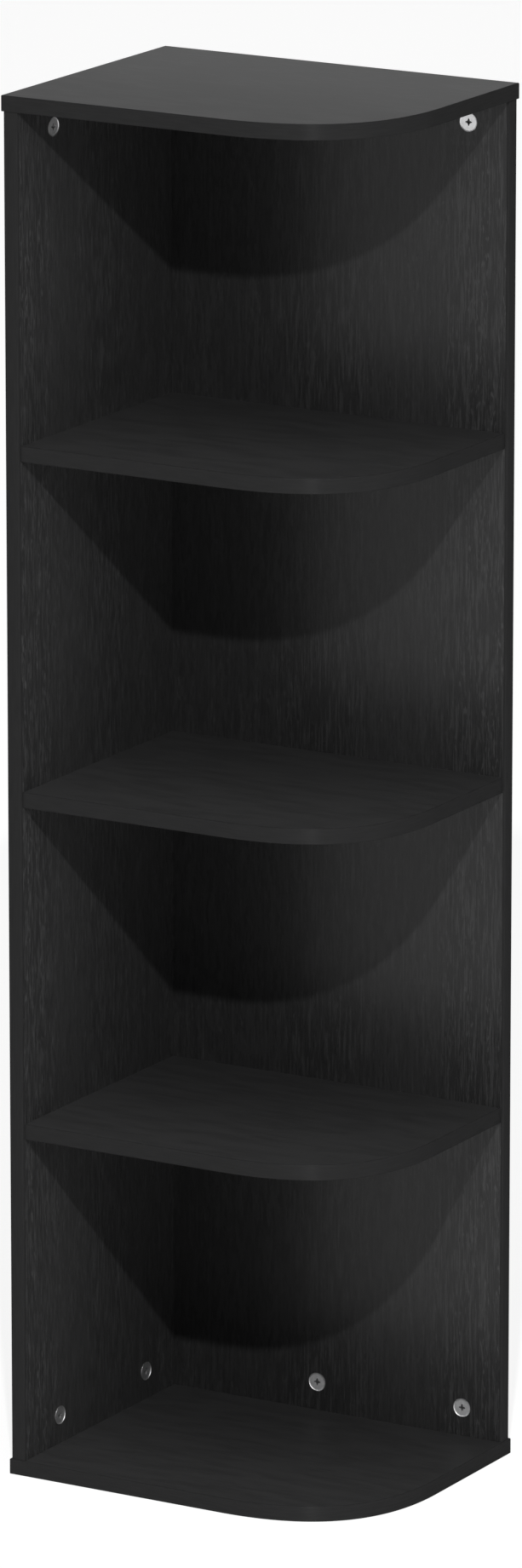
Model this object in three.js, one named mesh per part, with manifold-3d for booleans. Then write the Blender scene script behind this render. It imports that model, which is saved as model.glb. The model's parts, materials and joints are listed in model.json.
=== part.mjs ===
// A corner shelf unit. Two panels at right angles carry a bottom board, three shelves and a top
// board, whose free front corner is rounded. Cam locks join the panels to the top and bottom
// boards, and countersunk screws hold the shelves and the panels' common corner.
// Millimetres. X runs to the right along the back panel, Y from the front to the back, Z up.

import * as THREE from 'three';
import { mergeVertices } from 'three/addons/utils/BufferGeometryUtils.js';
import Module from 'manifold-3d';

const wasm = await Module();
wasm.setup();

// Overall size and board stock
const width = 305;
const depth = 236;
const height = 1065;
const boardThickness = 12;

// Rounded corner of the boards: its reach along each edge, and the share of that reach that
// each handle of its cubic curve takes
const cornerReach = 119;
const cornerHandleShare = 0.657;
const cornerSteps = 20;

// How far the boards stand proud of the panels, and the panels of the shelves
const panelInset = 1;
const shelfSetback = 2.3;

// Clear heights of the bays from the bottom up. The top bay takes what is left.
const bayHeights = [254, 246.5, 253];

// Edge bands and their rounded arrises, on the boards and on the panels
const bandThickness = 1;
const bandArris = 0.8;
const panelBandThickness = 2;
const panelBandArris = 1.5;
const arrisSteps = 2;

// Gap between butted boards, gap all round a pin in its hole, overrun of a cutting shape, and
// the distance within which two corners of a mesh count as one
const seamGap = 0.05;
const holeClearance = 0.1;
const overrun = 2;
const weldDistance = 0.0001;

// Lines of the fittings: the first one's distance from the boards' front or right-hand edge,
// their pitch, and the cams' distances from the panels' lower and upper ends
const sideFittingSetback = 52.2;
const backFittingSetback = 35.5;
const fittingPitch = 128;
const camFromFoot = 22.5;
const camFromHead = 18.7;

// Cam lock: a cap with a raised rim over a skirt that holds a spiral pocket
const camDiameter = 14.6;
const camBoreClearance = 0.25;
const camHeight = 9.6;
const camChamfer = 0.5;
const camRimWidth = 2.2;
const camDishDepth = 0.3;
const camDraw = 0.9;
const camTurn = Math.PI;
const pocketLead = (5 / 18) * Math.PI;
const pocketSteps = 12;
const camSides = 24;

// Cam bolt: thread in the board, shank through the panel's end, neck and ball head in the cam
const boltThreadDiameter = 6;
const boltThreadLength = 9;
const boltShankDiameter = 6.5;
const boltNeckDiameter = 3.6;
const boltNeckLead = 0.4;
const boltBallDiameter = 6;
const boltBallOffset = 1.5;
const boltSides = 12;
const ballSteps = 4;

// Wooden dowel
const dowelDiameter = 6;
const dowelLength = 30;
const dowelInBoard = 9;
const dowelChamfer = 0.8;
const dowelSides = 12;

// Countersunk screw
const screwHeadDiameter = 7.6;
const screwHeadRim = 0.5;
const screwDiameter = 3.8;
const screwLength = 38;
const screwTip = 5;
const screwSides = 10;

// Cross recesses of the cams and of the screws
const camRecess = { span: 5.4, arm: 1.3, depth: 2 };
const screwRecess = { span: 4.2, arm: 1, depth: 1.6 };
const recessTaperShare = 0.55;

// Planes and lines that several pieces share
const sideFace = panelInset + boardThickness;
const sideMiddle = panelInset + boardThickness / 2;
const backFace = depth - panelInset - boardThickness;
const backMiddle = depth - panelInset - boardThickness / 2;
const footLevel = boardThickness;
const headLevel = height - boardThickness;
const sideLines = [sideFittingSetback, sideFittingSetback + fittingPitch];
const backLines = [width - backFittingSetback - fittingPitch, width - backFittingSetback];

// Directions
const right = new THREE.Vector3(1, 0, 0);
const left = new THREE.Vector3(-1, 0, 0);
const back = new THREE.Vector3(0, 1, 0);
const front = new THREE.Vector3(0, -1, 0);
const up = new THREE.Vector3(0, 0, 1);
const down = new THREE.Vector3(0, 0, -1);

const laminate = new THREE.MeshStandardMaterial({ color: 0x242425, roughness: 0.55, metalness: 0 });
const bandPlastic = new THREE.MeshStandardMaterial({ color: 0x262627, roughness: 0.5, metalness: 0 });
const zinc = new THREE.MeshStandardMaterial({ color: 0x9c9c9a, roughness: 0.38, metalness: 1 });
const steel = new THREE.MeshStandardMaterial({ color: 0xb4b4b2, roughness: 0.35, metalness: 1 });
const beech = new THREE.MeshStandardMaterial({ color: 0xc9a26c, roughness: 0.7, metalness: 0 });

// Turns a closed three.js geometry into a solid: equal corners become one, and the triangles
// that this folds flat, at the poles of a lathe, are left out.
function toSolid(geometry) {
  const bare = geometry.clone();
  bare.deleteAttribute('normal');
  bare.deleteAttribute('uv');
  const merged = mergeVertices(bare, weldDistance);
  const corners = merged.index.array;
  const triVerts = [];
  for (let i = 0; i < corners.length; i += 3) {
    const [a, b, c] = corners.slice(i, i + 3);
    if (a !== b && b !== c && c !== a) {
      triVerts.push(a, b, c);
    }
  }
  const mesh = new wasm.Mesh({
    numProp: 3,
    vertProperties: new Float32Array(merged.attributes.position.array),
    triVerts: new Uint32Array(triVerts),
  });
  return new wasm.Manifold(mesh);
}

function toGeometry(solid) {
  const mesh = solid.getMesh();
  const geometry = new THREE.BufferGeometry();
  geometry.setAttribute('position', new THREE.BufferAttribute(mesh.vertProperties, 3));
  geometry.setIndex(new THREE.BufferAttribute(mesh.triVerts, 1));
  geometry.computeVertexNormals();
  return geometry;
}

// Closed prism over an outline, with its arrises rounded if an arris is given.
function prism(outline, bottom, top, arris = 0) {
  const geometry = new THREE.ExtrudeGeometry(new THREE.Shape(outline), {
    depth: top - bottom - 2 * arris,
    bevelEnabled: arris > 0,
    bevelThickness: arris,
    bevelSize: arris,
    bevelOffset: -arris,
    bevelSegments: arrisSteps,
  });
  return geometry.translate(0, 0, bottom + arris);
}

// Body turned about the Z axis. The profile's points are [radius, height], from the lower end of
// the axis to the upper one.
function turned(profile, sides) {
  const points = profile.map(([radius, level]) => new THREE.Vector2(radius, level));
  return new THREE.LatheGeometry(points, sides).rotateX(Math.PI / 2);
}

// Cuts each hole out of a mesh, wherever both stand in the unit.
function cutOut(mesh, holes) {
  mesh.updateMatrix();
  const toLocal = mesh.matrix.clone().invert();
  let solid = toSolid(mesh.geometry);
  for (const hole of holes) {
    hole.updateMatrix();
    const tool = hole.geometry.clone().applyMatrix4(toLocal.clone().multiply(hole.matrix));
    solid = solid.subtract(toSolid(tool));
  }
  mesh.geometry = toGeometry(solid);
}

// Stands a mesh at a point, with its own Z axis along one direction and its X axis along another.
function stand(mesh, [x, y, z], along, across) {
  const third = new THREE.Vector3().crossVectors(along, across);
  mesh.quaternion.setFromRotationMatrix(new THREE.Matrix4().makeBasis(across, third, along));
  mesh.position.set(x, y, z);
  return mesh;
}

function named(name, geometry, material) {
  const mesh = new THREE.Mesh(geometry, material);
  mesh.name = name;
  return mesh;
}

// Board outline from above. The inset moves the banded edges in: the front, the corner curve and
// the right-hand edge.
function boardOutline(inset, leftEdge, backEdge) {
  const handle = cornerReach * cornerHandleShare;
  const corner = new THREE.CubicBezierCurve(
    new THREE.Vector2(width - cornerReach, 0),
    new THREE.Vector2(width - cornerReach + handle, 0),
    new THREE.Vector2(width, cornerReach - handle),
    new THREE.Vector2(width, cornerReach),
  );
  const points = [new THREE.Vector2(leftEdge, inset)];
  for (let step = 0; step <= cornerSteps; step += 1) {
    const point = corner.getPoint(step / cornerSteps);
    const tangent = corner.getTangent(step / cornerSteps);
    points.push(new THREE.Vector2(point.x - tangent.y * inset, point.y + tangent.x * inset));
  }
  points.push(new THREE.Vector2(width - inset, backEdge));
  points.push(new THREE.Vector2(leftEdge, backEdge));
  return points;
}

// Board inside its edge band.
function makeBoard(name, { inset, leftEdge, backEdge, level }) {
  const outline = boardOutline(inset + bandThickness + seamGap, leftEdge, backEdge);
  return named(name, prism(outline, level, level + boardThickness), laminate);
}

// Edge band of a board: the board's full form with rounded arrises, less the board inside it,
// trimmed at the board's left-hand and back edges.
function makeBand(name, { inset, leftEdge, backEdge, level }) {
  const top = level + boardThickness;
  const whole = boardOutline(inset, leftEdge - overrun, backEdge + overrun);
  const inner = boardOutline(inset + bandThickness, leftEdge - 2 * overrun, backEdge + 2 * overrun);
  const trim = new THREE.Shape([
    new THREE.Vector2(leftEdge, inset - overrun),
    new THREE.Vector2(width + overrun, inset - overrun),
    new THREE.Vector2(width + overrun, backEdge),
    new THREE.Vector2(leftEdge, backEdge),
  ]).getPoints();
  const band = toSolid(prism(whole, level, top, bandArris))
    .subtract(toSolid(prism(inner, level - overrun, top + overrun)))
    .intersect(toSolid(prism(trim, level - overrun, top + overrun)));
  return named(name, toGeometry(band), bandPlastic);
}

// Upright panel, behind the edge band on its exposed end. Its plan runs along X from that end.
function makePanel(name, length) {
  const start = panelBandThickness + seamGap;
  const plan = [[start, 0], [length, 0], [length, boardThickness], [start, boardThickness]];
  const outline = plan.map(([x, y]) => new THREE.Vector2(x, y));
  return named(name, prism(outline, footLevel + seamGap, headLevel - seamGap), laminate);
}

// Edge band of a panel, from its rounded arrises at X = 0 to the panel.
function makePanelBand(name) {
  const [near, far] = [panelBandArris, boardThickness - panelBandArris];
  const plan = new THREE.Shape();
  plan.moveTo(panelBandThickness, 0);
  plan.lineTo(panelBandThickness, boardThickness);
  plan.lineTo(near, boardThickness);
  plan.absarc(near, far, panelBandArris, Math.PI / 2, Math.PI);
  plan.absarc(near, near, panelBandArris, Math.PI, 1.5 * Math.PI);
  const outline = plan.getPoints(2 * arrisSteps);
  return named(name, prism(outline, footLevel + seamGap, headLevel - seamGap), bandPlastic);
}

// Cross recess that opens upwards at the given level: four arms that narrow towards the bottom.
function crossRecess({ span, arm, depth: recessDepth }, level) {
  const [far, near] = [span / 2, arm / 2];
  const outline = [
    [far, -near], [far, near], [near, near], [near, far], [-near, far], [-near, near],
    [-far, near], [-far, -near], [-near, -near], [-near, -far], [near, -far], [near, -near],
  ].map(([x, y]) => new THREE.Vector2(x, y));
  const geometry = prism(outline, level - recessDepth, level + recessDepth);
  const place = geometry.attributes.position;
  for (let i = 0; i < place.count; i += 1) {
    const upwards = (place.getZ(i) - level) / recessDepth;
    const spread = 1 + upwards * (1 - recessTaperShare);
    place.setXY(i, place.getX(i) * spread, place.getY(i) * spread);
  }
  return toSolid(geometry);
}

// Outline of the cam's pocket from above. With the cam locked the bolt comes in along +X. The
// spiral wall lies on the ball's way through the half turn, and a plain arc closes the far side.
function pocketOutline() {
  const ball = boltBallDiameter / 2;
  const lockedRadius = boltBallOffset + ball + holeClearance;
  const sideways = boltBallOffset * Math.sin(pocketLead);
  const closedRadius = boltBallOffset * Math.cos(pocketLead)
    + Math.sqrt(ball * ball - sideways * sideways) + holeClearance;
  const points = [];
  for (let step = 0; step <= pocketSteps; step += 1) {
    const angle = pocketLead - (step / pocketSteps) * (camTurn + 2 * pocketLead);
    const opened = THREE.MathUtils.clamp(-angle / camTurn, 0, 1);
    const radius = lockedRadius + camDraw * opened;
    points.push(new THREE.Vector2(radius * Math.cos(angle), radius * Math.sin(angle)));
  }
  for (let step = 0; step <= arrisSteps; step += 1) {
    const rest = 2 * Math.PI - camTurn - 2 * pocketLead;
    const angle = -camTurn - pocketLead - (step / arrisSteps) * rest;
    points.push(new THREE.Vector2(closedRadius * Math.cos(angle), closedRadius * Math.sin(angle)));
  }
  return points;
}

// Cam lock, its face at Z = 0 and its axis along Z. It is drawn locked.
function camGeometry() {
  const radius = camDiameter / 2;
  const ball = boltBallDiameter / 2 + holeClearance;
  const neck = boltNeckDiameter / 2 + holeClearance;
  const axisLevel = -boardThickness / 2;
  const below = -camHeight - overrun;
  const body = toSolid(turned([
    [0, -camHeight],
    [radius, -camHeight],
    [radius, -camChamfer],
    [radius - camChamfer, 0],
    [radius - camRimWidth, 0],
    [radius - camRimWidth - camDishDepth, -camDishDepth],
    [0, -camDishDepth],
  ], camSides));
  const pocket = prism(pocketOutline(), below, axisLevel + ball);
  const beyond = radius + overrun;
  const halfTurn = new THREE.Shape().absarc(0, 0, beyond, -camTurn, 0).getPoints(pocketSteps);
  const neckSlot = prism(halfTurn, axisLevel - neck, axisLevel + neck);
  const lockedNeck = turned([[0, 0], [neck, 0], [neck, beyond], [0, beyond]], boltSides)
    .rotateY(Math.PI / 2)
    .translate(0, 0, axisLevel);
  const entry = prism([
    new THREE.Vector2(0, -ball),
    new THREE.Vector2(0, ball),
    new THREE.Vector2(-beyond, ball),
    new THREE.Vector2(-beyond, -ball),
  ], below, axisLevel + ball);
  const cam = body
    .subtract(toSolid(pocket))
    .subtract(toSolid(neckSlot))
    .subtract(toSolid(lockedNeck))
    .subtract(toSolid(entry))
    .subtract(crossRecess(camRecess, -camDishDepth));
  return toGeometry(cam);
}

// Blind bore for a cam lock, from above the panel's face to the cam's underside.
function camBoreGeometry() {
  const radius = camDiameter / 2 + camBoreClearance;
  const floor = -camHeight - holeClearance;
  return turned([[0, floor], [radius, floor], [radius, overrun], [0, overrun]], camSides);
}

// Cam bolt, Z = 0 at the board's face and +Z towards the cam, whose axis is at the given distance.
function boltGeometry(camDistance) {
  const ball = boltBallDiameter / 2;
  const neck = boltNeckDiameter / 2;
  const ballLevel = camDistance - boltBallOffset;
  const shankEnd = camDistance - camDiameter / 2 - camBoreClearance - boltNeckLead;
  const neckAngle = Math.asin(neck / ball);
  const profile = [
    [0, -boltThreadLength],
    [boltThreadDiameter / 2, -boltThreadLength],
    [boltThreadDiameter / 2, 0],
    [boltShankDiameter / 2, 0],
    [boltShankDiameter / 2, shankEnd],
    [neck, shankEnd],
  ];
  for (let step = 0; step < ballSteps; step += 1) {
    const angle = neckAngle + (step / ballSteps) * (Math.PI - neckAngle);
    profile.push([ball * Math.sin(angle), ballLevel - ball * Math.cos(angle)]);
  }
  profile.push([0, ballLevel + ball]);
  return turned(profile, boltSides);
}

function boltHoleGeometry(camDistance) {
  const thread = boltThreadDiameter / 2 + holeClearance;
  const shank = boltShankDiameter / 2 + holeClearance;
  const floor = -boltThreadLength - holeClearance;
  return turned([
    [0, floor],
    [thread, floor],
    [thread, 0],
    [shank, 0],
    [shank, camDistance],
    [0, camDistance],
  ], boltSides);
}

// Dowel or its hole, Z = 0 at the board's face and +Z into the panel.
function dowelGeometry(grow) {
  const radius = dowelDiameter / 2 + grow;
  const [low, high] = [-dowelInBoard - grow, dowelLength - dowelInBoard + grow];
  return turned([
    [0, low],
    [radius - dowelChamfer, low],
    [radius, low + dowelChamfer],
    [radius, high - dowelChamfer],
    [radius - dowelChamfer, high],
    [0, high],
  ], dowelSides);
}

// Countersunk screw or its hole, Z = 0 at the head's face and the tip down along -Z.
function screwBody(grow, rise) {
  const head = screwHeadDiameter / 2 + grow;
  const shank = screwDiameter / 2 + grow;
  return turned([
    [0, -screwLength - grow],
    [shank, -screwLength + screwTip],
    [shank, -screwHeadRim - head + shank],
    [head, -screwHeadRim],
    [head, rise],
    [0, rise],
  ], screwSides);
}

function screwGeometry() {
  return toGeometry(toSolid(screwBody(0, 0)).subtract(crossRecess(screwRecess, 0)));
}

const unit = new THREE.Group();
unit.position.set(-width / 2, -depth / 2, 0);

// Shelf levels, and each bay's floor and ceiling
const shelfLevels = [];
const bays = [];
let floorLevel = footLevel;
for (const bayHeight of bayHeights) {
  const ceiling = floorLevel + bayHeight;
  bays.push({ floor: floorLevel, ceiling });
  shelfLevels.push(ceiling);
  floorLevel = ceiling + boardThickness;
}
bays.push({ floor: floorLevel, ceiling: headLevel });

// Boards, each with its edge band: the bottom and top ones cover the panels' ends, and the
// shelves stand between the panels
function addBoard(name, plan) {
  const board = makeBoard(name, plan);
  unit.add(board, makeBand(`${name}_edge_band`, plan));
  return board;
}

const endPlan = { inset: 0, leftEdge: 0, backEdge: depth };
const shelfPlan = {
  inset: panelInset + shelfSetback,
  leftEdge: sideFace + seamGap,
  backEdge: backFace - seamGap,
};
const shelfNames = ['lower_shelf', 'middle_shelf', 'upper_shelf'];
const bottomBoard = addBoard('bottom_board', { ...endPlan, level: 0 });
const shelves = shelfNames.map((name, i) => addBoard(name, { ...shelfPlan, level: shelfLevels[i] }));
const topBoard = addBoard('top_board', { ...endPlan, level: headLevel });

// Panels: the side panel runs the full depth, and the back panel butts against it
function addPanel(name, length, turn, x, y) {
  const panel = makePanel(name, length);
  for (const piece of [panel, makePanelBand(`${name}_edge_band`)]) {
    piece.rotation.z = turn;
    piece.position.set(x, y, 0);
    unit.add(piece);
  }
  return panel;
}

const sideLength = depth - 2 * panelInset;
const backLength = width - panelInset - sideFace - seamGap;
const sidePanel = addPanel('side_panel', sideLength, Math.PI / 2, sideFace, panelInset);
const backPanel = addPanel('back_panel', backLength, Math.PI, width - panelInset, depth - panelInset);

// Each board and panel collects the holes that its fasteners need
const drilled = [bottomBoard, ...shelves, topBoard, sidePanel, backPanel];
const holesOf = new Map(drilled.map((mesh) => [mesh, []]));

function fasten(mesh, holeGeometry, pieces) {
  const hole = new THREE.Mesh(holeGeometry);
  hole.position.copy(mesh.position);
  hole.quaternion.copy(mesh.quaternion);
  for (const piece of pieces) {
    holesOf.get(piece).push(hole);
  }
  unit.add(mesh);
}

// Where each panel's fittings go: its lines, points on its inner face, in the middle of its
// thickness and on its outer face, and the directions out of those two faces
const panelSides = [
  {
    panel: sidePanel,
    tag: 'side',
    lines: sideLines,
    lineTags: ['front', 'rear'],
    inward: right,
    outward: left,
    onInnerFace: (line, z) => [sideFace, line, z],
    inMiddle: (line, z) => [sideMiddle, line, z],
    onOuterFace: (line, z) => [panelInset, line, z],
  },
  {
    panel: backPanel,
    tag: 'back',
    lines: backLines,
    lineTags: ['left', 'right'],
    inward: front,
    outward: back,
    onInnerFace: (line, z) => [line, backFace, z],
    inMiddle: (line, z) => [line, backMiddle, z],
    onOuterFace: (line, z) => [line, depth - panelInset, z],
  },
];

// Panel ends: two cam fittings and a dowel between them on each end of each panel
const panelEnds = [
  { tag: 'lower', board: bottomBoard, level: footLevel, into: up, camDistance: camFromFoot },
  { tag: 'upper', board: topBoard, level: headLevel, into: down, camDistance: camFromHead },
];

function addCamFitting(side, end, i) {
  const { panel, lines, lineTags, inward, onInnerFace, inMiddle } = side;
  const { tag, board, level, into, camDistance } = end;
  const name = `${panel.name}_${tag}_${lineTags[i]}_cam`;
  const camLevel = level + into.z * camDistance;
  const cam = named(name, camGeometry(), zinc);
  stand(cam, onInnerFace(lines[i], camLevel), inward, into.clone().negate());
  fasten(cam, camBoreGeometry(), [panel]);
  const bolt = named(`${name}_bolt`, boltGeometry(camDistance), steel);
  stand(bolt, inMiddle(lines[i], level), into, inward);
  fasten(bolt, boltHoleGeometry(camDistance), [panel, board]);
}

function addDowel(side, end) {
  const { panel, lines, inward, inMiddle } = side;
  const { tag, board, level, into } = end;
  const dowel = named(`${panel.name}_${tag}_dowel`, dowelGeometry(0), beech);
  stand(dowel, inMiddle((lines[0] + lines[1]) / 2, level), into, inward);
  fasten(dowel, dowelGeometry(holeClearance), [panel, board]);
}

for (const end of panelEnds) {
  for (const side of panelSides) {
    side.lines.forEach((line, i) => addCamFitting(side, end, i));
    addDowel(side, end);
  }
}

// Screws, each through a panel into the edge of another piece
function addScrew(name, place, outward, pieces) {
  const screw = named(name, screwGeometry(), steel);
  stand(screw, place, outward, up);
  fasten(screw, screwBody(holeClearance, overrun), pieces);
}

// Shelf screws: two through each panel into each shelf
shelves.forEach((shelf, i) => {
  const level = shelfLevels[i] + boardThickness / 2;
  for (const { panel, tag, lines, lineTags, outward, onOuterFace } of panelSides) {
    lines.forEach((line, j) => {
      const name = `${shelf.name}_${tag}_${lineTags[j]}_screw`;
      addScrew(name, onOuterFace(line, level), outward, [panel, shelf]);
    });
  }
});

// Corner screws: one at the middle of each bay, through the side panel into the back panel's edge
bays.forEach(({ floor, ceiling }, i) => {
  const place = [panelInset, backMiddle, (floor + ceiling) / 2];
  addScrew(`corner_screw_${i + 1}`, place, left, [sidePanel, backPanel]);
});

for (const [mesh, holes] of holesOf) {
  cutOut(mesh, holes);
}

export default unit;
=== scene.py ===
import json
import math

import bmesh
import bpy
from mathutils import Matrix, Vector


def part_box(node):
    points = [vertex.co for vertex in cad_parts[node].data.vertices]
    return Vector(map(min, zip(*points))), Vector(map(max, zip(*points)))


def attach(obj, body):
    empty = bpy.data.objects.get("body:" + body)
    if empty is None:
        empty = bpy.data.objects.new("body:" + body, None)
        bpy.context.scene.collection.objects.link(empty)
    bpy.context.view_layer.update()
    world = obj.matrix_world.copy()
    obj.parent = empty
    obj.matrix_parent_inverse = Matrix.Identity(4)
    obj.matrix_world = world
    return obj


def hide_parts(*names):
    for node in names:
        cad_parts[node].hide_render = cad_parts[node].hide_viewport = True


# Looks of the corner shelf unit, in metres: the floor and the light, the wood film on the boards
# and panels, the plastic edge bands, and the faces of the cam locks and screws.

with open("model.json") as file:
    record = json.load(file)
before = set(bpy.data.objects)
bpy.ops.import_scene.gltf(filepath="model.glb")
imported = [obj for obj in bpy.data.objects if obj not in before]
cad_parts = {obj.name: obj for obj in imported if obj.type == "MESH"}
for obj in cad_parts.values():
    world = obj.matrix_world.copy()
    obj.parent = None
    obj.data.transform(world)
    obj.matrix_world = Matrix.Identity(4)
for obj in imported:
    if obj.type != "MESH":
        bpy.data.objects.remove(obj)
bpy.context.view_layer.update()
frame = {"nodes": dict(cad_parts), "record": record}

# Camera: where it stands round the unit, how far off, and the height it looks at
CAMERA_AZIMUTH = math.radians(30.27)
CAMERA_ELEVATION = math.radians(14.41)
CAMERA_DISTANCE = 7.65
CAMERA_AIM = 0.5357
CAMERA_LENS_MM = 234
CAMERA_SENSOR_MM = 36

# Lamps and the studio round them. A level of 1 shows a facing surface in its own colour.
KEY_PLACE = (1.682, -2.904, 3.014)
KEY_DIAMETER = 0.07
KEY_LEVEL = 0.43
SOFT_PLACE = (0.9, -1.5, 3.2)
SOFT_WIDTH = 2.4
SOFT_LEVEL = 0.28
FULL_LEVEL_WATTS = math.pi * math.pi
STUDIO_LEVEL = 0.03
STUDIO_RIGHT_LEVEL = 0.28
BACKGROUND_LEVEL = 1
WHITE = (1, 1, 1, 1)

# Floor, with the glow that is seen on it and the one that lights the unit from below
FLOOR_SIZE = 40
FLOOR_LOOK = {"roughness": 0.9, "Base_Color": (0.3, 0.3, 0.3, 1), "Specular_IOR_Level": 0.1}
FLOOR_SEEN_GLOW = 0.85
FLOOR_LIGHTING_GLOW = 0.64

# Edge bands, with the radius of their rounded arrises
BOARD_BAND = {"thickness": 0.001, "arris": 0.0008}
PANEL_BAND = {"thickness": 0.002, "arris": 0.0015}
ARRIS_STEPS = 5
SMOOTH_ANGLE = math.radians(35)

# Boards' free corner: how far it reaches along both edges, and the handles of its curve
CORNER_REACH = 0.119
CORNER_HANDLE_SHARE = 0.657
CORNER_STEPS = 56

# Cam face, as radius and level over the solid's outer end: a thin steep rim round a flat middle
CAM_PROFILE = (
    (0.0073, -0.0003),
    (0.0073, 0.00034),
    (0.00727, 0.0004),
    (0.00718, 0.0004),
    (0.00708, 0.00028),
    (0.00698, 0.0001),
    (0.0069, 0.00005),
    (0.0062, 0.00003),
    (0.0038, 0.00003),
)
CAM_RECESS = {"span": 0.0058, "arm": 0.0021, "tip": 0.0004, "depth": 0.0018}

# Screw head, as radius and level over the solid's outer end: flat with a rounded rim
SCREW_PROFILE = (
    (0.0038, -0.0002),
    (0.0038, 0.00002),
    (0.00372, 0.0001),
    (0.0035, 0.00014),
    (0.0029, 0.00016),
)
SCREW_RECESS = {"span": 0.0042, "arm": 0.00125, "tip": 0.00085, "depth": 0.0014}
TURNED_SIDES = 64

# Recesses narrow to this share of their width at the bottom
RECESS_TAPER_SHARE = 0.55

# How far a face's middle may be off and still count as on the outer wall or the top
FACE_TOLERANCE = 0.000005

# Axes by number. The grain runs up the panels, and from side to side on the boards.
X_AXIS = 0
Y_AXIS = 1
PANEL_GRAIN_AXIS = 2
BOARD_GRAIN_AXIS = 0

# Noises, with the size of their spots across and along the grain and the range that shows. Most
# of a noise lies in the main range. The detail is how many finer layers a noise has.
MAIN_RANGE = (0.35, 0.65)
USUAL_DETAIL = 2
BAND_SPECK_DETAIL = 3
BLOTCH_DETAIL = 3
PANEL_NOISES = {
    "lines": {"across": 0.0016, "along": 0.06, "shown": (0.38, 0.62)},
    "clouds": {"across": 0.0035, "along": 0.018, "shown": (0.38, 0.62), "detail": 3},
    "flecks": {"across": 0.0014, "along": 0.007, "shown": (0.56, 0.66), "detail": 1},
    "patches": {"across": 0.006, "along": 0.08, "shown": (0.44, 0.58)},
    "pores": {"across": 0.0009, "along": 0.012, "shown": (0.36, 0.28)},
    "stripes": {"across": 0.012, "along": 0.5, "shown": MAIN_RANGE},
    "ruling": {"across": 0.0011, "along": 0.022, "shown": (0.48, 0.63)},
}
BOARD_NOISES = {
    "clouds": {"across": 0.012, "along": 0.05, "shown": (0.38, 0.62), "detail": 3},
    "streaks": {"across": 0.0014, "along": 0.018, "shown": (0.4, 0.7)},
}
DOWEL_NOISE = {"across": 0.0008, "along": 0.012, "shown": MAIN_RANGE, "detail": 3}
FINE_RELIEF = 0.00002

# Panels' film. Tones are shares of the film's level, and a pair of them is for the start and the
# end of the painted corner shade on the inner faces: painted light by the banded edge, and painted
# shade, darker towards the inner corner. Distances are from the banded edge, also where they bound
# the zones of open grain.
PANEL_LOOK = {"roughness": 0.28, "Specular_IOR_Level": 0.25}
PANEL_ROUGHNESS = (0.26, 0.3)
PANEL_RELIEF_STRENGTH = 0.25
# One film at two levels, lit and shaded copies: the side panel's is painted lighter than the back
# panel's, as light falls on it from the right
SIDE_FILM_LIT_LEVEL = 0.0303
BACK_FILM_SHADED_LEVEL = 0.0205
CORNER_SHADE_TONE_SHARES = {
    "dark": (1.14, 0.82),
    "light": (1.46, 1.04),
    "furrow": (1.05, 0.75),
    "ridge": (1.95, 1.36),
}
STRIPE_TONE_SHARE = 1.22
FLECK_TONE_SHARE = 2.6
PORE_TONE_SHARE = 0.72
CORNER_SHADE_SPAN = (0.03, 0.2)
SIDE_OPEN_GRAIN = ((0, 0.02), (0.11, 0.13))
BACK_OPEN_GRAIN = ((0, 0.03), (0.14, 0.17))
ZONE_BLUR = 0.04
LEAST_OPEN_GRAIN_SHARE = 0.4
FLECK_REACH = 0.08
FAR_FLECK_SHARE = 0.3

# Boards' film: the top board's, and the one on the boards below it. The back share paints light:
# the top board lighter towards the back, a painted reflection, and the boards below darker towards
# the back, painted shade under the board above
BOARD_LOOK = {"roughness": 0.5, "IOR": 1.14}
BOARD_ROUGHNESS = (0.49, 0.52)
BOARD_RELIEF_STRENGTH = 0.15
TOP_FILM = {"level": 0.038, "back_share": 1.75}
SHELF_FILM = {"level": 0.0365, "back_share": 0.75}
BOARD_TONE_SHARES = {"dark": 0.9, "light": 1.1}

# Edge bands' plastic. Its streaks and specks have a length, a width and an unused third size.
BAND_LOOK = {
    "roughness": 0.53,
    "IOR": 1.02,
    "Metallic": 0.165,
    "Anisotropic": 1,
    "Anisotropic_Rotation": 0.25,
    "Specular_Tint": (0.25, 0.25, 0.25, 1),
}
BAND_MAP = "band"
BAND_LEVEL = 0.03
BAND_TONE_SHARES = (0.94, 1.06)
BAND_STREAK = (0.02, 0.0012, 1)
BAND_SPECK = (0.0007, 0.0007, 1)
BAND_SPECK_RANGE = (0.3, 0.7)
BAND_ROUGHNESS = (0.46, 0.54)
BAND_RELIEF_STRENGTH = 0.2

# Metals, with the size of their specks. The shaded ones are darker copies, painted shade in the
# recesses and in the gap round the turned faces
METALS = {
    "cam_zinc": {"level": 0.84, "roughness": 0.42, "speck": 0.0006},
    "cam_shaded_zinc": {"level": 0.22, "roughness": 0.6, "speck": 0.0006},
    "plated_steel": {"level": 0.5, "roughness": 0.32, "speck": 0.0005},
    "screw_shaded_steel": {"level": 0.15, "roughness": 0.5, "speck": 0.0005},
}
SPECKS_TO_A_BLOTCH = 6
BLOTCH_TONE_SHARE = 0.88
METAL_ROUGHNESS_SPREAD = 0.03
METAL_RELIEF_STRENGTH = 0.15

# Dowels' wood
DOWEL_LOOK = {"roughness": 0.7, "Specular_IOR_Level": 0.3}
DOWEL_COLORS = ((0.42, 0.24, 0.11, 1), (0.62, 0.4, 0.2, 1))
DOWEL_RELIEF = 0.0001
DOWEL_RELIEF_STRENGTH = 0.5

# Greys lean a little to blue
BLUE_SHARE = 1.01

# The mix node's sockets for colours, and for the result
MIX_COLORS = (6, 7)
MIX_RESULT = 2


def add_node(tree, kind, **settings):
    node = tree.nodes.new(kind)
    for key, value in settings.items():
        setattr(node, key, value)
    return node


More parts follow.
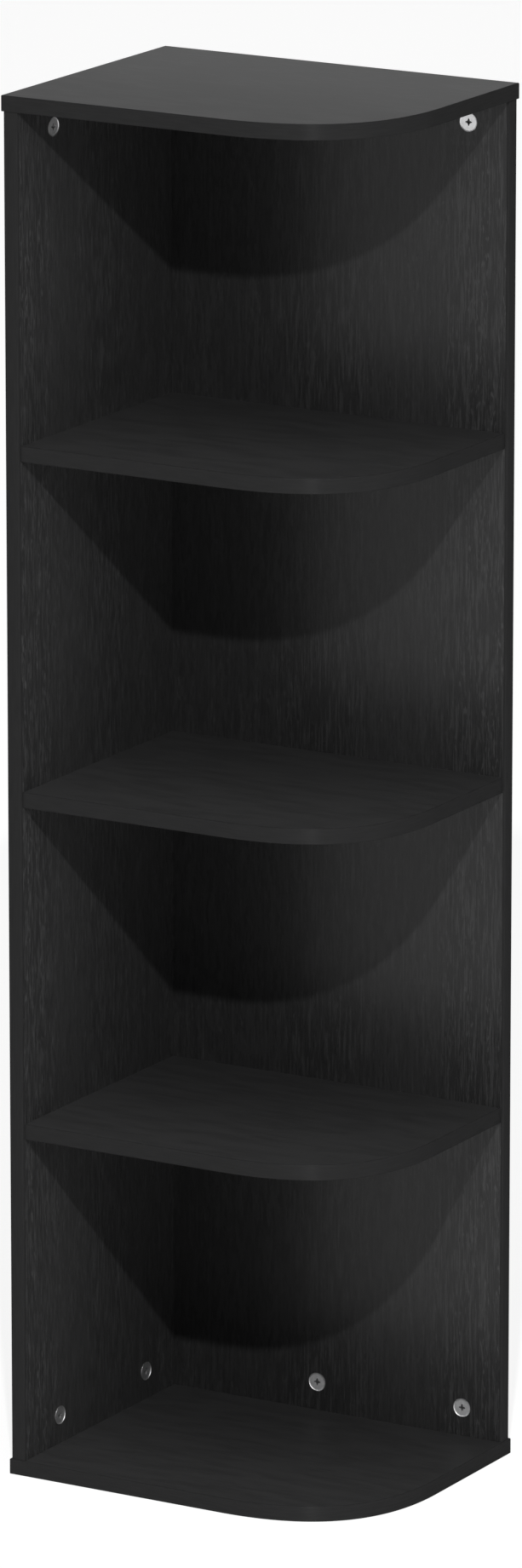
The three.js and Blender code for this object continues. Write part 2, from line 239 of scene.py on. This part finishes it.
def new_material(name, roughness, **settings):
    """Material whose shader sockets hold the given values, named as the sockets are but with
    underscores."""
    material = bpy.data.materials.new(name)
    material.use_nodes = True
    shader = material.node_tree.nodes["Principled BSDF"]
    shader.inputs["Roughness"].default_value = roughness
    for key, value in settings.items():
        shader.inputs[key.replace("_", " ")].default_value = value
    return material, material.node_tree, shader


def object_place(tree):
    return add_node(tree, "ShaderNodeTexCoord").outputs["Object"]


def axis_of(tree, place, axis):
    node = add_node(tree, "ShaderNodeSeparateXYZ")
    tree.links.new(place, node.inputs["Vector"])
    return node.outputs[axis]


def noise(tree, place, cell, detail=USUAL_DETAIL):
    """Noise whose spots have the given sizes along X, Y and Z."""
    mapping = add_node(tree, "ShaderNodeMapping")
    mapping.inputs["Scale"].default_value = [1 / size for size in cell]
    tree.links.new(place, mapping.inputs["Vector"])
    texture = add_node(tree, "ShaderNodeTexNoise")
    texture.inputs["Scale"].default_value = 1
    texture.inputs["Detail"].default_value = detail
    tree.links.new(mapping.outputs["Vector"], texture.inputs["Vector"])
    return texture.outputs["Fac"]


def remap(tree, value, low, high, start=0, end=1):
    """Carries low..high over to start..end, smoothly and without going past either."""
    node = add_node(tree, "ShaderNodeMapRange", interpolation_type="SMOOTHSTEP")
    node.inputs["From Min"].default_value = low
    node.inputs["From Max"].default_value = high
    node.inputs["To Min"].default_value = start
    node.inputs["To Max"].default_value = end
    tree.links.new(value, node.inputs["Value"])
    return node.outputs["Result"]


def grain(tree, place, axis, across, along, shown, detail=USUAL_DETAIL):
    """Noise drawn out along one axis, with the range that shows carried over to 0..1."""
    cell = [across] * 3
    cell[axis] = along
    return remap(tree, noise(tree, place, cell, detail), *shown)


def grains(tree, place, axis, noises):
    """The given noises by name, all drawn out along one axis."""
    return {kind: grain(tree, place, axis, **sizes) for kind, sizes in noises.items()}


def combine(tree, operation, first, second, clamp=False):
    node = add_node(tree, "ShaderNodeMath", operation=operation, use_clamp=clamp)
    tree.links.new(first, node.inputs[0])
    tree.links.new(second, node.inputs[1])
    return node.outputs["Value"]


def multiply(tree, first, second):
    return combine(tree, "MULTIPLY", first, second)


def larger(tree, first, second):
    return combine(tree, "MAXIMUM", first, second)


def blend_colors(tree, share, first, second):
    """Mixes two colours. Each is a plain colour or another node's output."""
    node = add_node(tree, "ShaderNodeMix", data_type="RGBA")
    tree.links.new(share, node.inputs["Factor"])
    for socket, color in zip(MIX_COLORS, (first, second)):
        if isinstance(color, tuple):
            node.inputs[socket].default_value = color
        else:
            tree.links.new(color, node.inputs[socket])
    return node.outputs[MIX_RESULT]


def bump(tree, shader, height, depth, strength):
    node = add_node(tree, "ShaderNodeBump")
    node.inputs["Distance"].default_value = depth
    node.inputs["Strength"].default_value = strength
    tree.links.new(height, node.inputs["Height"])
    tree.links.new(node.outputs["Normal"], shader.inputs["Normal"])


def grey(level):
    return (level, level, level * BLUE_SHARE, 1)


def zone_mask(tree, across, place_at, zones):
    """1 in the zones, which are spans of distance from the banded edge. The given function
    turns a distance into a place on the axis across the panel."""
    mask = None
    for near, far in zones:
        rise = remap(tree, across, place_at(near - ZONE_BLUR), place_at(near))
        fall = remap(tree, across, place_at(far), place_at(far + ZONE_BLUR), 1, 0)
        zone = multiply(tree, rise, fall)
        mask = larger(tree, mask, zone) if mask else zone
    return mask


def panel_laminate(name, level, zones, way_in, way_through):
    """Printed wood film with fine upright lines, which stand out in the zones of open grain and
    all over the panel's outer face. Light flecks crowd the strip by the banded edge. Each way
    is an axis and two places on it: the banded edge and the one opposite on the way in, and
    the inner and the outer face on the way through."""
    material, tree, shader = new_material(name, **PANEL_LOOK)
    place = object_place(tree)
    edge_axis, edge, opposite = way_in
    face_axis, inner, outer = way_through
    inwards = math.copysign(1, opposite - edge)

    def place_at(distance):
        return edge + inwards * distance

    shown = grains(tree, place, PANEL_GRAIN_AXIS, PANEL_NOISES)
    across = axis_of(tree, place, edge_axis)
    outside = remap(tree, axis_of(tree, place, face_axis), inner, outer)
    inside = remap(tree, axis_of(tree, place, face_axis), outer, inner)
    zoned = zone_mask(tree, across, place_at, zones)
    open_grain = remap(tree, zoned, 0, 1, LEAST_OPEN_GRAIN_SHARE, 1)
    open_grain = larger(tree, open_grain, outside)
    crowd = remap(tree, across, edge, place_at(FLECK_REACH), 1, FAR_FLECK_SHARE)
    # Painted light and shade on the inner faces: lighter by the banded edge, darker towards the
    # inner corner
    corner_shade = remap(tree, across, *[place_at(distance) for distance in CORNER_SHADE_SPAN])
    corner_shade = multiply(tree, corner_shade, inside)
    tones = {}
    for kind, (near, far) in CORNER_SHADE_TONE_SHARES.items():
        tones[kind] = blend_colors(tree, corner_shade, grey(level * near), grey(level * far))
    color = blend_colors(tree, shown["lines"], tones["dark"], tones["light"])
    striped = multiply(tree, shown["stripes"], shown["clouds"])
    color = blend_colors(tree, striped, color, grey(level * STRIPE_TONE_SHARE))
    ruled = blend_colors(tree, shown["ruling"], tones["furrow"], tones["ridge"])
    color = blend_colors(tree, open_grain, color, ruled)
    flecked = multiply(tree, multiply(tree, shown["flecks"], shown["patches"]), crowd)
    color = blend_colors(tree, flecked, color, grey(level * FLECK_TONE_SHARE))
    color = blend_colors(tree, shown["pores"], color, grey(level * PORE_TONE_SHARE))
    tree.links.new(color, shader.inputs["Base Color"])
    rough = remap(tree, shown["clouds"], 0, 1, *PANEL_ROUGHNESS)
    tree.links.new(rough, shader.inputs["Roughness"])
    bump(tree, shader, shown["lines"], FINE_RELIEF, PANEL_RELIEF_STRENGTH)
    return material


def board_laminate(name, level, back_share, front, back):
    """Printed wood film with a soft mottled grain along the width. Its tone at the back is the
    given share of that at the front, painted light from front to back."""
    material, tree, shader = new_material(name, **BOARD_LOOK)
    place = object_place(tree)
    shown = grains(tree, place, BOARD_GRAIN_AXIS, BOARD_NOISES)
    # Painted light from front to back: a painted reflection on the top board, painted shade on the
    # boards below
    depth = remap(tree, axis_of(tree, place, Y_AXIS), front, back)
    tones = {}
    for kind, share in BOARD_TONE_SHARES.items():
        tone = level * share
        tones[kind] = blend_colors(tree, depth, grey(tone), grey(tone * back_share))
    color = blend_colors(tree, shown["clouds"], tones["dark"], tones["light"])
    color = blend_colors(tree, shown["streaks"], color, tones["light"])
    tree.links.new(color, shader.inputs["Base Color"])
    rough = remap(tree, shown["clouds"], 0, 1, *BOARD_ROUGHNESS)
    tree.links.new(rough, shader.inputs["Roughness"])
    bump(tree, shader, shown["streaks"], FINE_RELIEF, BOARD_RELIEF_STRENGTH)
    return material


def band_plastic():
    """Glued edge band: matt plastic, drawn out along its length, with a faint grain."""
    material, tree, shader = new_material("band", **BAND_LOOK)
    tangent = add_node(tree, "ShaderNodeTangent", direction_type="UV_MAP", uv_map=BAND_MAP)
    tree.links.new(tangent.outputs["Tangent"], shader.inputs["Tangent"])
    along = add_node(tree, "ShaderNodeUVMap", uv_map=BAND_MAP).outputs["UV"]
    streaks = remap(tree, noise(tree, along, BAND_STREAK), *MAIN_RANGE)
    specks = noise(tree, along, BAND_SPECK, BAND_SPECK_DETAIL)
    color = blend_colors(tree, streaks, *[grey(BAND_LEVEL * share) for share in BAND_TONE_SHARES])
    tree.links.new(color, shader.inputs["Base Color"])
    rough = remap(tree, specks, *BAND_SPECK_RANGE, *BAND_ROUGHNESS)
    tree.links.new(rough, shader.inputs["Roughness"])
    bump(tree, shader, specks, FINE_RELIEF, BAND_RELIEF_STRENGTH)
    return material


def metal(name, level, roughness, speck):
    """Die-cast or plated metal with a worn, slightly blotchy skin."""
    material, tree, shader = new_material(name, roughness, Metallic=1)
    place = object_place(tree)
    blotch = speck * SPECKS_TO_A_BLOTCH
    blotches = remap(tree, noise(tree, place, [blotch] * 3, BLOTCH_DETAIL), *MAIN_RANGE)
    specks = noise(tree, place, [speck] * 3)
    color = blend_colors(tree, blotches, grey(level * BLOTCH_TONE_SHARE), grey(level))
    tree.links.new(color, shader.inputs["Base Color"])
    least = roughness - METAL_ROUGHNESS_SPREAD
    most = roughness + METAL_ROUGHNESS_SPREAD
    tree.links.new(remap(tree, specks, *MAIN_RANGE, least, most), shader.inputs["Roughness"])
    bump(tree, shader, specks, FINE_RELIEF, METAL_RELIEF_STRENGTH)
    return material


def beech():
    """Wood of the dowels, which stand upright."""
    material, tree, shader = new_material("dowel_beech", **DOWEL_LOOK)
    shown = grain(tree, object_place(tree), PANEL_GRAIN_AXIS, **DOWEL_NOISE)
    color = blend_colors(tree, shown, *DOWEL_COLORS)
    tree.links.new(color, shader.inputs["Base Color"])
    bump(tree, shader, shown, DOWEL_RELIEF, DOWEL_RELIEF_STRENGTH)
    return material


def light_path_mask(tree):
    """1 for what the camera, a reflection or a pane of glass sees, 0 for light on surfaces."""
    path = add_node(tree, "ShaderNodeLightPath")
    total = path.outputs["Is Camera Ray"]
    for name in ("Is Glossy Ray", "Is Transmission Ray"):
        total = combine(tree, "ADD", total, path.outputs[name], clamp=True)
    return total


def make_world():
    """White to look at, and a weak light on the unit, which gets stronger to the right."""
    world = bpy.data.worlds.new("studio")
    world.use_nodes = True
    tree = world.node_tree
    tree.nodes.clear()
    lit = add_node(tree, "ShaderNodeBackground")
    lit.inputs["Color"].default_value = WHITE
    sideways = axis_of(tree, add_node(tree, "ShaderNodeTexCoord").outputs["Generated"], X_AXIS)
    level = remap(tree, sideways, 0, 1, STUDIO_LEVEL, STUDIO_RIGHT_LEVEL)
    tree.links.new(level, lit.inputs["Strength"])
    seen = add_node(tree, "ShaderNodeBackground")
    seen.inputs["Color"].default_value = WHITE
    seen.inputs["Strength"].default_value = BACKGROUND_LEVEL
    mix = add_node(tree, "ShaderNodeMixShader")
    sources = (light_path_mask(tree), lit.outputs["Background"], seen.outputs["Background"])
    for source, socket in zip(sources, mix.inputs):
        tree.links.new(source, socket)
    output = add_node(tree, "ShaderNodeOutputWorld")
    tree.links.new(mix.outputs["Shader"], output.inputs["Surface"])
    bpy.context.scene.world = world


def make_floor():
    """Floor with a glow of its own, which looks brighter than it lights the unit."""
    material, tree, shader = new_material("floor", Emission_Color=WHITE, **FLOOR_LOOK)
    glow = remap(tree, light_path_mask(tree), 0, 1, FLOOR_LIGHTING_GLOW, FLOOR_SEEN_GLOW)
    tree.links.new(glow, shader.inputs["Emission Strength"])
    half = FLOOR_SIZE / 2
    corners = [(-half, -half, 0), (half, -half, 0), (half, half, 0), (-half, half, 0)]
    mesh = bpy.data.meshes.new("floor")
    mesh.from_pydata(corners, [], [tuple(range(len(corners)))])
    mesh.materials.append(material)
    floor = bpy.data.objects.new("floor", mesh)
    bpy.context.scene.collection.objects.link(floor)


def make_lamp(name, shape, place, size, level):
    """Lamp whose light reaches every height alike, aimed at the unit's middle."""
    data = bpy.data.lights.new(name, "AREA")
    data.shape = shape
    data.size = size
    data.energy = level * FULL_LEVEL_WATTS
    data.use_nodes = True
    tree = data.node_tree
    falloff = add_node(tree, "ShaderNodeLightFalloff")
    falloff.inputs["Strength"].default_value = 1
    emission = tree.nodes["Emission"]
    tree.links.new(falloff.outputs["Constant"], emission.inputs["Strength"])
    lamp = bpy.data.objects.new(name, data)
    lamp.location = place
    aim = Vector((0, 0, CAMERA_AIM)) - Vector(place)
    lamp.rotation_euler = aim.to_track_quat("-Z", "Y").to_euler()
    bpy.context.scene.collection.objects.link(lamp)


def make_camera():
    data = bpy.data.cameras.new("camera")
    data.lens = CAMERA_LENS_MM
    data.sensor_width = CAMERA_SENSOR_MM
    camera = bpy.data.objects.new("camera", data)
    outwards = Vector((
        math.sin(CAMERA_AZIMUTH) * math.cos(CAMERA_ELEVATION),
        -math.cos(CAMERA_AZIMUTH) * math.cos(CAMERA_ELEVATION),
        math.sin(CAMERA_ELEVATION),
    ))
    camera.location = Vector((0, 0, CAMERA_AIM)) + outwards * CAMERA_DISTANCE
    camera.rotation_euler = outwards.to_track_quat("Z", "Y").to_euler()
    bpy.context.scene.collection.objects.link(camera)
    bpy.context.scene.camera = camera


def cubic(points, t):
    """Place and direction on a cubic curve at the given share of its way."""
    a, b, c, d = points
    s = 1 - t
    place = a * s ** 3 + b * 3 * s * s * t + c * 3 * s * t * t + d * t ** 3
    tangent = (b - a) * s * s + (c - b) * 2 * s * t + (d - c) * t * t
    return place, tangent


def board_line(low, high):
    """A board's edge in plan, from its left-hand end round the corner to the back: places and
    outward directions. It is the bottom board's, moved inwards by as far as this board falls
    short of it on the right."""
    widest_low, widest_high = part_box("bottom_board_edge_band")
    front = widest_low.y
    right = widest_high.x
    inset = right - high.x
    handle = CORNER_REACH * CORNER_HANDLE_SHARE
    corner = (
        Vector((right - CORNER_REACH, front)),
        Vector((right - CORNER_REACH + handle, front)),
        Vector((right, front + CORNER_REACH - handle)),
        Vector((right, front + CORNER_REACH)),
    )
    stops = [(Vector((low.x, front)), Vector((0, -1)))]
    for step in range(CORNER_STEPS + 1):
        place, tangent = cubic(corner, step / CORNER_STEPS)
        stops.append((place, Vector((tangent.y, -tangent.x)).normalized()))
    stops.append((Vector((right, high.y)), Vector((1, 0))))
    return [(place - outward * inset, outward) for place, outward in stops]


def band_section(thickness, arris, height):
    """A band's section, from its inner foot round the outside to its inner head, as depth
    behind the outer face and level above the foot."""
    quarter = [math.pi / 2 * step / ARRIS_STEPS for step in range(ARRIS_STEPS + 1)]
    foot = [(arris - arris * math.sin(a), arris - arris * math.cos(a)) for a in quarter]
    head = [(depth, height - level) for depth, level in reversed(foot)]
    return [(thickness, 0), *foot, *head, (thickness, height)]


def lengths_round(section):
    """How far round the section each of its points lies."""
    lengths = [0]
    for here, there in zip(section, section[1:]):
        lengths.append(lengths[-1] + math.dist(here, there))
    return lengths


def close_ends(bm, rings):
    """Caps a skin over rings at both of its ends, and turns all its faces outwards."""
    bm.faces.new(list(reversed(rings[0])))
    bm.faces.new(rings[-1])
    bmesh.ops.recalc_face_normals(bm, faces=bm.faces)


def mesh_from(bm, name):
    mesh = bpy.data.meshes.new(name)
    bm.to_mesh(mesh)
    bm.free()
    return mesh


def band_mesh(name, section, rings):
    """Skins a band over its rings, which follow the section. The map runs along the band in U
    and round the section in V, in metres."""
    bm = bmesh.new()
    uv_layer = bm.loops.layers.uv.new(BAND_MAP)
    round_section = lengths_round(section)
    skin = [[bm.verts.new(place) for place in ring] for ring in rings]
    start = 0
    for ring, following in zip(skin, skin[1:]):
        end = start + (following[0].co - ring[0].co).length
        for i in range(len(ring)):
            j = (i + 1) % len(ring)
            face = bm.faces.new((ring[i], following[i], following[j], ring[j]))
            face.smooth = True
            corners = ((start, i), (end, i), (end, j), (start, j))
            for loop, (along, k) in zip(face.loops, corners):
                loop[uv_layer].uv = (along, round_section[k])
        start = end
    close_ends(bm, skin)
    mesh = mesh_from(bm, name)
    mesh.set_sharp_from_angle(angle=SMOOTH_ANGLE)
    return mesh


def add_band(node, finish, section, rings):
    """Puts a band in its CAD node's place."""
    name = node.removesuffix("_edge_band") + "_band"
    mesh = band_mesh(name, section, rings)
    mesh.materials.append(finish)
    piece = bpy.data.objects.new(name, mesh)
    bpy.context.scene.collection.objects.link(piece)
    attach(piece, "carcass")
    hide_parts(node)


def add_board_band(node, finish):
    low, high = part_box(node)
    section = band_section(height=high.z - low.z, **BOARD_BAND)
    rings = []
    for place, outward in board_line(low, high):
        ring = []
        for depth, level in section:
            spot = place - outward * depth
            ring.append((spot.x, spot.y, low.z + level))
        rings.append(ring)
    add_band(node, finish, section, rings)


def add_panel_band(node, finish, outward, across):
    """Upright band whose outer face looks along one axis, with its section across another."""
    low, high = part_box(node)
    section = band_section(height=(high - low).dot(across), **PANEL_BAND)
    outer = max(low.dot(outward), high.dot(outward))
    rings = []
    for level in (low.z, high.z):
        foot = outward * outer + across * low.dot(across) + Vector((0, 0, level))
        rings.append([foot - outward * depth + across * shift for depth, shift in section])
    add_band(node, finish, section, rings)


def stacked_mesh(name, rings):
    """Solid skinned over rings of places, from the lowest ring to the highest."""
    bm = bmesh.new()
    skin = [[bm.verts.new(place) for place in ring] for ring in rings]
    for ring, following in zip(skin, skin[1:]):
        for i in range(len(ring)):
            j = (i + 1) % len(ring)
            bm.faces.new((ring[i], ring[j], following[j], following[i]))
    close_ends(bm, skin)
    return mesh_from(bm, name)


def recess_mesh(span, arm, tip, depth, level):
    """Cutter with four arms, which narrow from the arm width to the tip width outwards, and
    also narrow downwards from the given level."""
    far = span / 2
    near = arm / 2
    end = tip / 2
    outline = []
    quarter = [(far, -end), (far, end), (near, near)]
    for _ in range(4):
        outline += quarter
        quarter = [(-y, x) for x, y in quarter]
    rings = []
    for rise in (-1, 1):
        spread = 1 + rise * (1 - RECESS_TAPER_SHARE)
        rings.append([(x * spread, y * spread, level + rise * depth) for x, y in outline])
    return stacked_mesh("recess", rings)


def turned_mesh(name, profile):
    """Solid turned to a profile of radius and level."""
    turns = [2 * math.pi * side / TURNED_SIDES for side in range(TURNED_SIDES)]
    rings = []
    for radius, level in profile:
        rings.append([(radius * math.cos(a), radius * math.sin(a), level) for a in turns])
    return stacked_mesh(name, rings)


def cut_out(mesh, cutter):
    """The first mesh less the second."""
    blank = bpy.data.objects.new("blank", mesh)
    tool = bpy.data.objects.new("tool", cutter)
    for piece in (blank, tool):
        bpy.context.scene.collection.objects.link(piece)
    cut = blank.modifiers.new("cut", "BOOLEAN")
    cut.operation = "DIFFERENCE"
    cut.solver = "EXACT"
    cut.object = tool
    bpy.context.view_layer.update()
    shown = blank.evaluated_get(bpy.context.evaluated_depsgraph_get())
    result = bpy.data.meshes.new_from_object(shown)
    bpy.data.objects.remove(blank)
    bpy.data.objects.remove(tool)
    return result


def turned_face(name, profile, recess, skin, painted_shade_finish):
    """Round face turned to the profile, with a cross recess sunk in its middle. The outer wall
    has the darker painted-shade finish, a painted shadow of the gap round the face, and so has all
    that lies lower than the middle, which is the recess and a rim that slopes down."""
    radius = profile[0][0]
    top = profile[-1][1]
    mesh = cut_out(turned_mesh(name, profile), recess_mesh(level=top, **recess))
    mesh.materials.clear()
    mesh.materials.append(skin)
    mesh.materials.append(painted_shade_finish)
    wall = radius * math.cos(math.pi / TURNED_SIDES) - FACE_TOLERANCE
    middle = top - FACE_TOLERANCE
    # Painted shade: the outer wall and all that lies below the middle take the darker finish
    for face in mesh.polygons:
        outer = math.hypot(face.center.x, face.center.y) > wall
        face.material_index = int(outer or face.center.z < middle)
    mesh.shade_smooth()
    mesh.set_sharp_from_angle(angle=SMOOTH_ANGLE)
    return mesh


def body_of(node):
    """The body that the record puts a CAD node in."""
    bodies = frame["record"]["behaviour"]["bodies"]
    return next(body for body, members in bodies.items() if node in members)


def add_face(node, mesh, outward):
    """Sets a turned face on the outer end of a CAD node, square to the given direction."""
    low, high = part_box(node)
    place = (low + high) / 2
    for axis, sense in enumerate(outward):
        if sense:
            place[axis] = high[axis] if sense > 0 else low[axis]
    piece = bpy.data.objects.new(f"{node}_face", mesh)
    turn = Vector(outward).to_track_quat("Z", "Y").to_matrix().to_4x4()
    piece.matrix_world = Matrix.Translation(place) @ turn
    bpy.context.scene.collection.objects.link(piece)
    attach(piece, body_of(node))


def paint(names, material):
    """Gives the named CAD nodes a material."""
    for name in names:
        data = frame["nodes"][name].data
        data.materials.clear()
        data.materials.append(material)


# Light and camera
bpy.context.scene.view_settings.view_transform = "Standard"
make_camera()
make_world()
make_lamp("key", "DISK", KEY_PLACE, KEY_DIAMETER, KEY_LEVEL)
make_lamp("soft", "SQUARE", SOFT_PLACE, SOFT_WIDTH, SOFT_LEVEL)
make_floor()

# CAD nodes by kind, and the boxes of the two panels
nodes = sorted(frame["nodes"])
lower_boards = ["bottom_board", "lower_shelf", "middle_shelf", "upper_shelf"]
board_bands = [f"{board}_edge_band" for board in [*lower_boards, "top_board"]]
cams = [name for name in nodes if name.endswith("_cam")]
bolts = [name for name in nodes if name.endswith("_bolt")]
dowels = [name for name in nodes if name.endswith("_dowel")]
screws = [name for name in nodes if "screw" in name]
side_low, side_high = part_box("side_panel")
back_low, back_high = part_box("back_panel")

# Finishes
metals = {name: metal(name, **look) for name, look in METALS.items()}
band_finish = band_plastic()
top_film = board_laminate("top_film", front=side_low.y, back=back_low.y, **TOP_FILM)
shelf_film = board_laminate("shelf_film", front=side_low.y, back=back_low.y, **SHELF_FILM)
# The two panel films differ in level only by painted light and shade
side_film = panel_laminate(
    "side_panel_film", SIDE_FILM_LIT_LEVEL, SIDE_OPEN_GRAIN,
    way_in=(Y_AXIS, side_low.y, side_high.y), way_through=(X_AXIS, side_high.x, side_low.x),
)
back_film = panel_laminate(
    "back_panel_film", BACK_FILM_SHADED_LEVEL, BACK_OPEN_GRAIN,
    way_in=(X_AXIS, back_high.x, back_low.x), way_through=(Y_AXIS, back_low.y, back_high.y),
)
paint(["top_board"], top_film)
paint(lower_boards, shelf_film)
paint(["side_panel"], side_film)
paint(["back_panel"], back_film)
paint([*board_bands, "side_panel_edge_band", "back_panel_edge_band"], band_finish)
# The cams' bodies, seen in the recesses, get the darker zinc, painted shade
paint(cams, metals["cam_shaded_zinc"])
paint(bolts + screws, metals["plated_steel"])
paint(dowels, beech())

# Edge bands
for node in board_bands:
    add_board_band(node, band_finish)
add_panel_band("side_panel_edge_band", band_finish, outward=Vector((0, -1, 0)),
               across=Vector((1, 0, 0)))
add_panel_band("back_panel_edge_band", band_finish, outward=Vector((1, 0, 0)),
               across=Vector((0, 1, 0)))

# Faces of the cam locks and screws
cam_mesh = turned_face("cam_face", CAM_PROFILE, CAM_RECESS, metals["cam_zinc"], metals["cam_shaded_zinc"])
for node in cams:
    outward = (1, 0, 0) if node.startswith("side") else (0, -1, 0)
    add_face(node, cam_mesh, outward)
screw_mesh = turned_face(
    "screw_face", SCREW_PROFILE, SCREW_RECESS, metals["plated_steel"], metals["screw_shaded_steel"]
)
for node in screws:
    outward = (0, 1, 0) if "_back_" in node else (-1, 0, 0)
    add_face(node, screw_mesh, outward)
